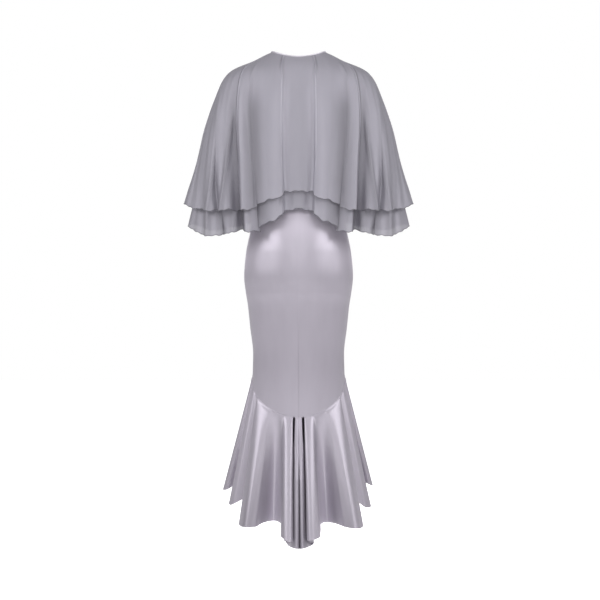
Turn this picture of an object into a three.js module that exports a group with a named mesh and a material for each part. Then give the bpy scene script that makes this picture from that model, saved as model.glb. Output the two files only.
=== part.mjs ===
// Fitted satin midi dress with a dipped fishtail flounce and a two-tier chiffon cape, filled out
// with no wearer. Millimetres, +Z up. The back of the dress faces -Y and the wearer's left is -X.
// The origin is the centre of the neck opening, level with the tops of the side neck.
import * as THREE from 'three';

// Walls and seam gaps
const SATIN_WALL = 1.4;
const CHIFFON_WALL = 1.0;
const SEAM_GAP = 0.3;
const FLOUNCE_SEAM_GAP = 0.85;

// Neck binding, a folded strip that stands on the stacked top edges of the layers
const BINDING_HEIGHT = 4.4;
const BINDING_STEP = 0.65;
const BINDING_LEAN = 0.35;
const BINDING_PROUD = 0.3;
const BINDING_WIDTH = 3.6;
const BINDING_EDGE = 0.8;
const BINDING_COLUMNS = 48;

// Grid of each cloth piece
const BODY_COLUMNS_A_SIDE = 24;
const FLOUNCE_ROWS = 5;
const CAPE_LEVELS = [0, 0.07, 0.15, 0.24, 0.32, 0.44, 0.6, 0.8, 1];
const LONG_CHORD = 30;

// Satin and chiffon in the dress's lilac grey
const SATIN_COLOUR = 0xbdb8c4;
const CHIFFON_COLOUR = 0xa6a2ae;
const BINDING_COLOUR = 0xd4d1da;

// Body sections from the neck to the flounce seam. Bend is how the height runs round the section:
// 2 for a rounded dip, 0.85 for the dipped seam. Edge is the armhole angle, 90 where it is closed.
const BODY_COLUMNS = ['at', 'halfWidth', 'back', 'front', 'zBack', 'zSide', 'zFront', 'bend', 'edge'];
const BODY_SECTIONS = [
  [0, 74.6, 54.6, 60.6, -28.8, -6.9, -78.8, 2, 90],
  [1, 118, 74, 80, -58, -36, -110, 2, 90],
  [2, 152, 84, 93, -80, -54, -132, 2, 90],
  [3, 172, 90, 100, -102, -70, -152, 2, 90],
  [4, 172, 94, 106, -126, -104, -172, 2, 68],
  [5, 166, 97, 111, -158, -146, -194, 2, 62],
  [6, 156, 99, 115, -196, -190, -222, 2, 68],
  [7, 150, 99, 119, -218, -218, -240, 2, 90],
  [8, 146, 98, 124, -275, -275, -279, 2, 90],
  [9, 130, 92, 112, -345, -345, -345, 2, 90],
  [10, 119, 84, 98, -410, -410, -410, 2, 90],
  [11, 126, 94, 101, -460, -460, -460, 2, 90],
  [12, 137, 108, 105, -515, -515, -515, 2, 90],
  [13, 149, 122, 108, -576, -576, -576, 2, 90],
  [14, 154.3, 128, 110, -640, -640, -640, 2, 90],
  [15, 149.8, 123, 108, -685, -685, -685, 2, 90],
  [16, 143.8, 113, 104, -722, -722, -722, 2, 90],
  [17, 136.4, 104, 100, -793, -790, -788, 1.4, 90],
  [18, 128.5, 98, 97, -900, -862, -850, 0.9, 90],
  [19, 130, 98, 97, -1034, -925, -905, 0.85, 90]
];

// Flounce folds from the centre-back groove round the left and right halves to the centre front.
// Angle and proud place a fold on the seam. The hem columns are the fold's bottom point, left half
// then right half.
const FLOUNCE_COLUMNS = ['at', 'angle', 'proud', 'xLeft', 'xRight', 'y', 'zLeft', 'zRight'];
const FLOUNCE_FOLDS = [
  [0, 0, -1.5, -3.5, 3.5, -205, -1379, -1379],
  [1, 1.7, 0.5, 7, 11, -213, -1377, -1377],
  [2, 3.4, 0.5, 18, 22, -208, -1376, -1376],
  [3, 4.4, -2.5, 27, 30, -196, -1376, -1377],
  [4, 5.2, -6.5, 35, 37, -182, -1367, -1376],
  [5, 6.1, -7.5, 41, 43, -190, -1362, -1368],
  [6, 6.9, -5, 31, 33, -212, -1360, -1363],
  [7, 7.6, 0.6, 15.5, 22, -228, -1358, -1355],
  [8, 10.6, 3, 25.5, 34, -241, -1358, -1354],
  [9, 14, 2.5, 39, 47, -234, -1351, -1351],
  [10, 17, 0.5, 47.5, 59, -214, -1345, -1345],
  [11, 20.5, -1.5, 47, 59.5, -170, -1323, -1325],
  [12, 25, -1.5, 56, 67, -138, -1319, -1322],
  [13, 29, 0, 70, 80, -122, -1319, -1323],
  [14, 34, 1, 96, 103, -146, -1320, -1323],
  [15, 40, 2.5, 118, 126, -178, -1327, -1327],
  [16, 47, 2, 138, 148, -186, -1327, -1330],
  [17, 57, 1, 156, 170, -168, -1328, -1332],
  [18, 63, 0, 163, 177, -142, -1325, -1330],
  [19, 66, -3, 151, 164, -104, -1300, -1303],
  [20, 68.6, -1, 154, 168, -84, -1264, -1275],
  [21, 71.8, 1.5, 177, 184, -84, -1276, -1286],
  [22, 75, 1.5, 191, 197, -70, -1283, -1290],
  [23, 79, 0, 197, 203, -48, -1281, -1290],
  [24, 83.5, -2.5, 184, 191, -24, -1262, -1268],
  [25, 88, -1, 186, 192, -6, -1238, -1228],
  [26, 93, 1.5, 204, 202, -10, -1248, -1234],
  [27, 98, 1, 215, 212, 8, -1251, -1239],
  [28, 103, 0, 211, 208, 34, -1245, -1236],
  [29, 109, -2, 190, 190, 56, -1232, -1229],
  [30, 117, 0.5, 198, 197, 92, -1230, -1229],
  [31, 125, 1.5, 180, 180, 132, -1224, -1224],
  [32, 136, 0, 146, 146, 150, -1215, -1215],
  [33, 147, -1.5, 108, 108, 130, -1206, -1206],
  [34, 160, 1.5, 62, 62, 176, -1203, -1203],
  [35, 170, -1, 27, 27, 152, -1199, -1199],
  [36, 180, 1, 0, 0, 178, -1200, -1200]
];
const FLOUNCE_SIDE_FOLD = 25;
const FLOUNCE_FRONT_FOLD = 36;

// Cape levels from the neck to the hem of each tier, without folds. Raglan is the angle of the
// sleeve seam from the centre back, and from the centre front.
const CAPE_COLUMNS = ['at', 'halfWidth', 'back', 'front', 'zBack', 'zSide', 'zFront', 'raglan'];
const UPPER_LEVELS = [
  [0, 78, 58, 64, -26, -4, -76, 84],
  [0.12, 126, 81, 88, -51, -28.5, -102, 74],
  [0.25, 194, 101, 108, -85, -59, -135, 55],
  [0.32, 215, 109, 117, -110, -83, -160, 50.5],
  [0.42, 237, 117, 129, -150, -133, -198, 46],
  [0.55, 260, 122, 139, -210, -196, -245, 41],
  [0.75, 293, 126, 147, -300, -329, -325, 34],
  [1, 326, 128, 150, -409, -440, -405, 29]
];
const LOWER_LEVELS = [
  [0, 76.6, 56.8, 62.8, -27.2, -5.4, -77, 84],
  [0.12, 122, 77, 85, -54, -32.5, -105, 74],
  [0.25, 187, 95, 102, -91, -66, -140, 55],
  [0.32, 207, 102, 110, -117, -91, -166, 50.5],
  [0.42, 228, 109, 122, -160, -144, -206, 46],
  [0.55, 250, 113, 131, -228, -214, -260, 41],
  [0.75, 281, 116, 138, -335, -362, -352, 34],
  [1, 312, 118, 140, -457, -505, -455, 29]
];

// Cape folds from the centre back (0) over the sleeve seams (1 and 2) to the centre front (3).
// Start is the level where a fold begins. The other columns are its bottom point at each hem.
const FOLD_COLUMNS = ['at', 'start', 'xUpper', 'yUpper', 'zUpper', 'xLower', 'yLower', 'zLower'];
const CAPE_FOLDS = [
  [0, 0.1, 0, -128, -409, 0, -116, -457],
  [0.16, 0.05, 36, -127, -409, 35, -115, -461],
  [0.21, 0.03, 42.5, -138, -422, 42, -127, -471],
  [0.3, 0.05, 55, -141, -426, 55, -130, -477],
  [0.46, 0.15, 80, -137, -432, 73, -124, -491],
  [0.62, 0.25, 102, -119, -441, 95, -108, -500],
  [0.72, 0.25, 116, -109, -447, 111, -97, -515],
  [0.8, 0.25, 125, -114, -455, 119, -106, -519],
  [0.9, 0.22, 143, -127, -460, 133, -117, -520],
  [0.97, 0.2, 160, -120, -461, 148, -109, -519],
  [1, 0.2, 160, -88, -459, 149, -76, -515],
  [1.06, 0.2, 173, -93, -459, 160, -82, -514],
  [1.13, 0.2, 196, -113, -459, 178, -98, -519],
  [1.19, 0.2, 212, -108, -459, 196, -92, -524],
  [1.24, 0.2, 224, -91, -459, 209, -80, -526],
  [1.29, 0.2, 242, -106, -462, 228, -93, -530],
  [1.35, 0.2, 261, -90, -459, 252, -84, -530],
  [1.4, 0.25, 277, -67, -454, 270, -62, -526],
  [1.45, 0.3, 305, -44, -448, 292, -38, -512],
  [1.5, 0.3, 327, -6, -433, 315, -6, -500],
  [1.55, 0.3, 312, 28, -441, 300, 24, -492],
  [1.6, 0.25, 288, 46, -447, 280, 42, -497],
  [1.66, 0.2, 283, 80, -452, 270, 72, -503],
  [1.74, 0.2, 256, 88, -454, 244, 80, -505],
  [1.82, 0.2, 232, 114, -452, 219, 104, -501],
  [1.9, 0.2, 204, 101, -448, 192, 92, -496],
  [2, 0.2, 170, 108, -441, 161, 98, -490],
  [2.08, 0.2, 170, 140, -436, 160, 129, -486],
  [2.22, 0.2, 148, 150, -430, 141, 139, -480],
  [2.36, 0.25, 120, 137, -424, 114, 127, -474],
  [2.56, 0.25, 85, 158, -416, 81, 147, -466],
  [2.76, 0.2, 50, 147, -410, 47, 136, -460],
  [2.9, 0.15, 24, 157, -406, 23, 146, -456],
  [3, 0.1, 0, 151, -405, 0, 140, -455]
];
const CAPE_LOOP = 6;
const CAPE_BEND = 2;
const FOLD_EASE = 1.2;

const DEGREE = Math.PI / 180;
const SMALL_STEP = 1e-3;

// A smooth curve through each column of a table, with no overshoot between its rows
function tableCurves(columns, rows) {
  const at = rows.map((row) => row[0]);
  const last = rows.length - 1;
  const curves = {};
  columns.slice(1).forEach((column, index) => {
    const value = rows.map((row) => row[index + 1]);
    const chord = at.slice(1).map((next, i) => (value[i + 1] - value[i]) / (next - at[i]));
    const slope = value.map((_, i) => {
      if (i === 0) return chord[0];
      if (i === last) return chord[last - 1];
      if (chord[i - 1] * chord[i] <= 0) return 0;
      const before = at[i] - at[i - 1];
      const after = at[i + 1] - at[i];
      const weightBefore = 2 * after + before;
      const weightAfter = after + 2 * before;
      return (weightBefore + weightAfter) / (weightBefore / chord[i - 1] + weightAfter / chord[i]);
    });
    curves[column] = (place) => {
      const bounded = Math.min(Math.max(place, at[0]), at[last]);
      let i = 0;
      while (i < last - 1 && bounded > at[i + 1]) i += 1;
      const width = at[i + 1] - at[i];
      const s = (bounded - at[i]) / width;
      const rise = s * s * (3 - 2 * s);
      const early = s * (1 - s) * (1 - s) * width;
      const late = s * s * (1 - s) * width;
      return value[i] + (value[i + 1] - value[i]) * rise + slope[i] * early - slope[i + 1] * late;
    };
  });
  return curves;
}

const body = tableCurves(BODY_COLUMNS, BODY_SECTIONS);
const flounce = tableCurves(FLOUNCE_COLUMNS, FLOUNCE_FOLDS);
const upper = tableCurves(CAPE_COLUMNS, UPPER_LEVELS);
const lower = tableCurves(CAPE_COLUMNS, LOWER_LEVELS);
const folds = tableCurves(FOLD_COLUMNS, CAPE_FOLDS);
const BODY_SEAM = BODY_SECTIONS.length - 1;

// A point on an oval section. The angle runs from the centre back, by the side, to the centre front.
function sectionPoint(curves, at, angle, side, bend) {
  const sine = Math.sin(angle * DEGREE);
  const cosine = Math.cos(angle * DEGREE);
  const depth = cosine > 0 ? curves.back(at) : curves.front(at);
  const zEnd = cosine > 0 ? curves.zBack(at) : curves.zFront(at);
  const zSide = curves.zSide(at);
  const z = zSide + (zEnd - zSide) * Math.abs(cosine) ** bend;
  return new THREE.Vector3(side * curves.halfWidth(at) * sine, -depth * cosine, z);
}

// Body surface: turn is 0 at the centre back, 1 at the left side, 2 at the centre front and 3 at
// the right side. The armhole edge bounds it where a section is open.
function bodyPoint(turn, at) {
  const wrapped = ((turn % 4) + 4) % 4;
  const side = wrapped > 2 ? 1 : -1;
  const half = wrapped > 2 ? 4 - wrapped : wrapped;
  const edge = body.edge(at);
  const angle = half > 1 ? 180 - (2 - half) * edge : half * edge;
  return sectionPoint(body, at, angle, side, body.bend(at));
}

// Flounce surface: fold counts the folds round the loop, by the left side, and drop runs from 0 at
// the seam to 1 at the hem.
function flouncePoint(fold, drop) {
  const loop = 2 * FLOUNCE_FRONT_FOLD;
  const wrapped = ((fold % loop) + loop) % loop;
  const right = wrapped > FLOUNCE_FRONT_FOLD;
  const place = right ? loop - wrapped : wrapped;
  const side = right ? 1 : -1;
  const angle = flounce.angle(place);
  const top = sectionPoint(body, BODY_SEAM, angle, side, body.bend(BODY_SEAM));
  const proud = flounce.proud(place);
  top.x += side * proud * Math.sin(angle * DEGREE);
  top.y -= proud * Math.cos(angle * DEGREE);
  const x = right ? flounce.xRight(place) : -flounce.xLeft(place);
  const z = right ? flounce.zRight(place) : flounce.zLeft(place);
  return top.lerp(new THREE.Vector3(x, flounce.y(place), z), drop);
}

// Cape level without folds, where place is 0 to 3 from the centre back to the centre front
function capeBase(curves, place, side, level) {
  const raglan = curves.raglan(level);
  let angle = place * raglan;
  if (place > 1) angle = raglan + (place - 1) * (180 - 2 * raglan);
  if (place > 2) angle = 180 - (3 - place) * raglan;
  return sectionPoint(curves, level, angle, side, CAPE_BEND);
}

// Cape surface: turn is 0 at the centre back, 1 and 2 at the left sleeve's seams, 3 at the centre
// front, and 4 and 5 at the right sleeve's seams. The folds grow towards the hem.
function capePoint(tier, turn, level) {
  const wrapped = ((turn % CAPE_LOOP) + CAPE_LOOP) % CAPE_LOOP;
  const side = wrapped > 3 ? 1 : -1;
  const place = wrapped > 3 ? CAPE_LOOP - wrapped : wrapped;
  const curves = tier === 'Upper' ? upper : lower;
  const start = folds.start(place);
  const grown = Math.max(0, (level - start) / (1 - start));
  const end = capeBase(curves, place, side, 1);
  const x = side * folds[`x${tier}`](place);
  const hem = new THREE.Vector3(x, folds[`y${tier}`](place), folds[`z${tier}`](place));
  return capeBase(curves, place, side, level).addScaledVector(hem.sub(end), grown ** FOLD_EASE);
}

const upperCapePoint = (turn, level) => capePoint('Upper', turn, level);
const lowerCapePoint = (turn, level) => capePoint('Lower', turn, level);

// Rate of change across a surface, its outward normal, and the way down it square to its rows
function surfaceFrame(surface, across, down) {
  const alongAcross = surface(across + SMALL_STEP, down).sub(surface(across - SMALL_STEP, down));
  const alongDown = surface(across, down + SMALL_STEP).sub(surface(across, down - SMALL_STEP));
  const normal = new THREE.Vector3().crossVectors(alongDown, alongAcross).normalize();
  const below = new THREE.Vector3().crossVectors(alongAcross, normal).normalize();
  return { acrossRate: alongAcross.length() / (2 * SMALL_STEP), normal, below };
}

// A cloth wall: an outer grid on the surface, an inner grid one wall in, and edge strips between
function clothPanel(surface, acrossPlaces, downPlaces, wall, trims) {
  const points = [];
  const lastColumn = acrossPlaces.length - 1;
  const lastRow = downPlaces.length - 1;
  const inner = [];
  downPlaces.forEach((down, row) => {
    acrossPlaces.forEach((across, column) => {
      const frame = surfaceFrame(surface, across, down);
      let place = across;
      if (column === 0) place += trims.side / frame.acrossRate;
      if (column === lastColumn) place -= trims.side / frame.acrossRate;
      const point = surface(place, down);
      if (row === 0 && trims.top > 0) {
        point.addScaledVector(frame.below, trims.top);
        frame.normal.setZ(0).normalize();
      }
      points.push(point);
      inner.push(point.clone().addScaledVector(frame.normal, -wall));
    });
  });
  const count = points.length;
  points.push(...inner);
  const index = [];
  const at = (row, column) => row * (lastColumn + 1) + column;
  const quad = (a, b, c, d) => index.push(a, b, c, a, c, d);
  for (let row = 0; row < lastRow; row += 1) {
    for (let column = 0; column < lastColumn; column += 1) {
      const a = at(row, column);
      const b = at(row + 1, column);
      const c = at(row + 1, column + 1);
      const d = at(row, column + 1);
      quad(a, b, c, d);
      quad(count + a, count + d, count + c, count + b);
    }
    const start = at(row, 0);
    const startBelow = at(row + 1, 0);
    quad(start, count + start, count + startBelow, startBelow);
    const end = at(row, lastColumn);
    const endBelow = at(row + 1, lastColumn);
    quad(end, endBelow, count + endBelow, count + end);
  }
  for (let column = 0; column < lastColumn; column += 1) {
    const top = at(0, column);
    const topNext = at(0, column + 1);
    quad(top, topNext, count + topNext, count + top);
    const hem = at(lastRow, column);
    const hemNext = at(lastRow, column + 1);
    quad(hem, count + hem, count + hemNext, hemNext);
  }
  return solid(points, index);
}

function solid(points, index) {
  const geometry = new THREE.BufferGeometry();
  const numbers = points.flatMap((point) => [point.x, point.y, point.z]);
  geometry.setAttribute('position', new THREE.Float32BufferAttribute(numbers, 3));
  geometry.setIndex(index);
  geometry.computeVertexNormals();
  return geometry;
}

// Even places from one end to the other
function evenPlaces(from, to, count) {
  return Array.from({ length: count + 1 }, (_, i) => from + ((to - from) * i) / count);
}

// A place at each fold between two ends, and one more in the middle of a long chord of the hem
function foldPlaces(surface, stops, from, to) {
  const inside = stops.filter((stop) => stop > from + SMALL_STEP && stop < to - SMALL_STEP);
  const ends = [from, ...inside, to];
  const places = [];
  ends.slice(0, -1).forEach((stop, i) => {
    places.push(stop);
    const chord = surface(stop, 1).distanceTo(surface(ends[i + 1], 1));
    if (chord > LONG_CHORD) places.push((stop + ends[i + 1]) / 2);
  });
  places.push(to);
  return places;
}

function satin(colour = SATIN_COLOUR) {
  return new THREE.MeshStandardMaterial({ color: colour, roughness: 0.38, metalness: 0 });
}

function chiffon() {
  return new THREE.MeshStandardMaterial({ color: CHIFFON_COLOUR, roughness: 0.85, metalness: 0 });
}

const dress = new THREE.Group();

function addPiece(name, geometry, material) {
  const mesh = new THREE.Mesh(geometry, material);
  mesh.name = name;
  dress.add(mesh);
}

// Body: two back panels that meet at the centre back, and a front panel
const bodyRows = evenPlaces(0, BODY_SEAM, BODY_SEAM);
const satinTrims = { side: SEAM_GAP / 2, top: 0 };
const quarter = BODY_COLUMNS_A_SIDE / 2;
const bodyPanels = [
  ['body_back_left', evenPlaces(0, 1, quarter)],
  ['body_front', evenPlaces(1, 3, 2 * quarter)],
  ['body_back_right', evenPlaces(3, 4, quarter)]
];
bodyPanels.forEach(([name, places]) => {
  addPiece(name, clothPanel(bodyPoint, places, bodyRows, SATIN_WALL, satinTrims), satin());
});

// Flounce: two back panels that meet in the centre inverted pleat, and a front panel
const loopFolds = evenPlaces(0, 2 * FLOUNCE_FRONT_FOLD, 2 * FLOUNCE_FRONT_FOLD);
const flounceRows = evenPlaces(0, 1, FLOUNCE_ROWS);
const flounceTrims = { side: SEAM_GAP / 2, top: FLOUNCE_SEAM_GAP };
const farSide = 2 * FLOUNCE_FRONT_FOLD - FLOUNCE_SIDE_FOLD;
const flouncePanels = [
  ['flounce_back_left', 0, FLOUNCE_SIDE_FOLD],
  ['flounce_front', FLOUNCE_SIDE_FOLD, farSide],
  ['flounce_back_right', farSide, 2 * FLOUNCE_FRONT_FOLD]
];
flouncePanels.forEach(([name, from, to]) => {
  const places = foldPlaces(flouncePoint, loopFolds, from, to);
  addPiece(name, clothPanel(flouncePoint, places, flounceRows, SATIN_WALL, flounceTrims), satin());
});

// Cape: a back panel, a front panel and a flutter sleeve on each side, in each tier
const halfStops = CAPE_FOLDS.map((row) => row[0]);
const capeStops = [
  ...halfStops.map((stop) => -stop),
  ...halfStops,
  ...halfStops.map((stop) => CAPE_LOOP - stop)
].sort((a, b) => a - b);
const capeTrims = { side: SEAM_GAP / 2, top: 0 };
const capePanels = [
  ['back', -1, 1],
  ['sleeve_left', 1, 2],
  ['front', 2, 4],
  ['sleeve_right', 4, 5]
];
[['upper', upperCapePoint], ['lower', lowerCapePoint]].forEach(([tier, surface]) => {
  capePanels.forEach(([piece, from, to]) => {
    const places = foldPlaces(surface, capeStops, from, to);
    const geometry = clothPanel(surface, places, CAPE_LEVELS, CHIFFON_WALL, capeTrims);
    addPiece(`cape_${tier}_${piece}`, geometry, chiffon());
  });
});

// Neck binding: a closed strip with a rounded section above the top edges of the three layers
function neckBinding() {
  const points = [];
  const index = [];
  const inside = BINDING_PROUD - BINDING_WIDTH;
  const section = [
    [BINDING_STEP, BINDING_PROUD - BINDING_EDGE / 2],
    [BINDING_STEP + BINDING_EDGE, BINDING_PROUD],
    [BINDING_HEIGHT - BINDING_EDGE, BINDING_PROUD],
    [BINDING_HEIGHT, BINDING_PROUD - BINDING_EDGE],
    [BINDING_HEIGHT, inside + BINDING_EDGE],
    [BINDING_HEIGHT - BINDING_EDGE, inside],
    [BINDING_STEP, inside]
  ];
  for (let column = 0; column < BINDING_COLUMNS; column += 1) {
    const turn = (CAPE_LOOP * column) / BINDING_COLUMNS;
    const frame = surfaceFrame(upperCapePoint, turn, SMALL_STEP * 2);
    const base = upperCapePoint(turn, 0);
    const down = upperCapePoint(turn, SMALL_STEP).sub(base).normalize();
    const upright = new THREE.Vector3(0, 0, 1 - BINDING_LEAN);
    const rise = down.multiplyScalar(-BINDING_LEAN).add(upright).normalize();
    section.forEach(([height, out]) => {
      points.push(base.clone().addScaledVector(rise, height).addScaledVector(frame.normal, out));
    });
  }
  const sides = section.length;
  for (let column = 0; column < BINDING_COLUMNS; column += 1) {
    const next = (column + 1) % BINDING_COLUMNS;
    for (let edge = 0; edge < sides; edge += 1) {
      const far = (edge + 1) % sides;
      const a = column * sides + edge;
      const b = next * sides + edge;
      const c = next * sides + far;
      const d = column * sides + far;
      index.push(a, b, c, a, c, d);
    }
  }
  return solid(points, index);
}

addPiece('neck_binding', neckBinding(), satin(BINDING_COLOUR));

export default dress;
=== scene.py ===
"""Fitted satin midi dress with a dipped fishtail flounce and a two-tier chiffon cape."""

import math

import bpy
import numpy as np
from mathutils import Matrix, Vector


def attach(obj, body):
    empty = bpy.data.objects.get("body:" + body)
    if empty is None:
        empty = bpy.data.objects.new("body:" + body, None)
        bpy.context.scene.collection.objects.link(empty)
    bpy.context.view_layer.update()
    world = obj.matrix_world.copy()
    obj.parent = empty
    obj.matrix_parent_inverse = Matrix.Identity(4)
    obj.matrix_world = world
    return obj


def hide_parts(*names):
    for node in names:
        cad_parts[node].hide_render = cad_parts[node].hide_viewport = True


bl_info = {
    "name": "Caped midi dress",
    "version": (1, 0, 0),
    "blender": (4, 5, 0),
    "location": "View3D > Sidebar > Dress",
    "description": "Builds the cloth, trims and studio of a caped midi dress",
    "category": "Object",
}

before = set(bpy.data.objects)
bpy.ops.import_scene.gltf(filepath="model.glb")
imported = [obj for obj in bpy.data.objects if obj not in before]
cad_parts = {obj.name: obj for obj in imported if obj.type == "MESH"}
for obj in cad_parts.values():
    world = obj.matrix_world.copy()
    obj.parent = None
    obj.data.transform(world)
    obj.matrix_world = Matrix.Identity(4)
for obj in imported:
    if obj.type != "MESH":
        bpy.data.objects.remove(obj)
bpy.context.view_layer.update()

MM = 0.001
DEGREE = math.pi / 180
STEP = 1e-3
TINY = 1e-9
SHARP_ANGLE = 60 * DEGREE
# Spans down a cloth that are full from its top on, or down to its end
FROM_TOP, TO_END = (-2, -1), (2000, 3000)

# Body sections in mm, from the neck to the flounce seam
BODY_COLUMNS = ("at", "half_width", "back", "front", "z_back", "z_side", "z_front", "bend", "edge")
BODY_SECTIONS = [
    (0, 74.6, 54.6, 60.6, -28.8, -6.9, -78.8, 2, 90),
    (1, 118, 74, 80, -58, -36, -110, 2, 90),
    (2, 152, 84, 93, -80, -54, -132, 2, 90),
    (3, 172, 90, 100, -102, -70, -152, 2, 90),
    (4, 172, 94, 106, -126, -104, -172, 2, 68),
    (5, 166, 97, 111, -158, -146, -194, 2, 62),
    (6, 156, 99, 115, -196, -190, -222, 2, 68),
    (7, 150, 99, 119, -218, -218, -240, 2, 90),
    (8, 146, 98, 124, -275, -275, -279, 2, 90),
    (9, 130, 92, 112, -345, -345, -345, 2, 90),
    (10, 119, 84, 98, -410, -410, -410, 2, 90),
    (11, 126, 94, 101, -460, -460, -460, 2, 90),
    (12, 137, 108, 105, -515, -515, -515, 2, 90),
    (13, 149, 122, 108, -576, -576, -576, 2, 90),
    (14, 154.3, 128, 110, -640, -640, -640, 2, 90),
    (15, 149.8, 123, 108, -685, -685, -685, 2, 90),
    (16, 143.8, 113, 104, -722, -722, -722, 2, 90),
    (17, 136.4, 104, 100, -793, -790, -788, 1.4, 90),
    (18, 128.5, 98, 97, -900, -862, -850, 0.9, 90),
    (19, 130, 98, 97, -1034, -925, -905, 0.85, 90),
]
BODY_SEAM = len(BODY_SECTIONS) - 1

# Flounce folds in mm: their angle and stand-off on the seam, and their bottom points
FLOUNCE_COLUMNS = ("at", "angle", "proud", "x_left", "x_right", "y", "z_left", "z_right")
FLOUNCE_FOLDS = [
    (0, 0, -1.5, -3.5, 3.5, -205, -1379, -1379),
    (1, 1.7, 0.5, 7, 11, -213, -1377, -1377),
    (2, 3.4, 0.5, 18, 22, -208, -1376, -1376),
    (3, 4.4, -2.5, 27, 30, -196, -1376, -1377),
    (4, 5.2, -6.5, 35, 37, -182, -1367, -1376),
    (5, 6.1, -7.5, 41, 43, -190, -1362, -1368),
    (6, 6.9, -5, 31, 33, -212, -1360, -1363),
    (7, 7.6, 0.6, 15.5, 22, -228, -1358, -1355),
    (8, 10.6, 3, 25.5, 34, -241, -1358, -1354),
    (9, 14, 2.5, 39, 47, -234, -1351, -1351),
    (10, 17, 0.5, 47.5, 59, -214, -1345, -1345),
    (11, 20.5, -1.5, 47, 59.5, -170, -1323, -1325),
    (12, 25, -1.5, 56, 67, -138, -1319, -1322),
    (13, 29, 0, 70, 80, -122, -1319, -1323),
    (14, 34, 1, 96, 103, -146, -1320, -1323),
    (15, 40, 2.5, 118, 126, -178, -1327, -1327),
    (16, 47, 2, 138, 148, -186, -1327, -1330),
    (17, 57, 1, 156, 170, -168, -1328, -1332),
    (18, 63, 0, 163, 177, -142, -1325, -1330),
    (19, 66, -3, 151, 164, -104, -1300, -1303),
    (20, 68.6, -1, 154, 168, -84, -1264, -1275),
    (21, 71.8, 1.5, 177, 184, -84, -1276, -1286),
    (22, 75, 1.5, 191, 197, -70, -1283, -1290),
    (23, 79, 0, 197, 203, -48, -1281, -1290),
    (24, 83.5, -2.5, 184, 191, -24, -1262, -1268),
    (25, 88, -1, 186, 192, -6, -1238, -1228),
    (26, 93, 1.5, 204, 202, -10, -1248, -1234),
    (27, 98, 1, 215, 212, 8, -1251, -1239),
    (28, 103, 0, 211, 208, 34, -1245, -1236),
    (29, 109, -2, 190, 190, 56, -1232, -1229),
    (30, 117, 0.5, 198, 197, 92, -1230, -1229),
    (31, 125, 1.5, 180, 180, 132, -1224, -1224),
    (32, 136, 0, 146, 146, 150, -1215, -1215),
    (33, 147, -1.5, 108, 108, 130, -1206, -1206),
    (34, 160, 1.5, 62, 62, 176, -1203, -1203),
    (35, 170, -1, 27, 27, 152, -1199, -1199),
    (36, 180, 1, 0, 0, 178, -1200, -1200),
]
FLOUNCE_SIDE = 25
FLOUNCE_FRONT = 36
FLOUNCE_LOOP = 2 * FLOUNCE_FRONT
SEAM_DROP = 0.03

# Cape levels in mm, without folds, from the neck to each tier's hem
CAPE_COLUMNS = ("at", "half_width", "back", "front", "z_back", "z_side", "z_front", "raglan")
UPPER_LEVELS = [
    (0, 78, 58, 64, -26, -4, -76, 84),
    (0.12, 126, 81, 88, -51, -28.5, -102, 74),
    (0.25, 194, 101, 108, -85, -59, -135, 55),
    (0.32, 215, 109, 117, -110, -83, -160, 50.5),
    (0.42, 237, 117, 129, -150, -133, -198, 46),
    (0.55, 260, 122, 139, -210, -196, -245, 41),
    (0.75, 293, 126, 147, -300, -329, -325, 34),
    (1, 326, 128, 150, -409, -440, -405, 29),
]
LOWER_LEVELS = [
    (0, 76.6, 56.8, 62.8, -27.2, -5.4, -77, 84),
    (0.12, 122, 77, 85, -54, -32.5, -105, 74),
    (0.25, 187, 95, 102, -91, -66, -140, 55),
    (0.32, 207, 102, 110, -117, -91, -166, 50.5),
    (0.42, 228, 109, 122, -160, -144, -206, 46),
    (0.55, 250, 113, 131, -228, -214, -260, 41),
    (0.75, 281, 116, 138, -335, -362, -352, 34),
    (1, 312, 118, 140, -457, -505, -455, 29),
]

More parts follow.
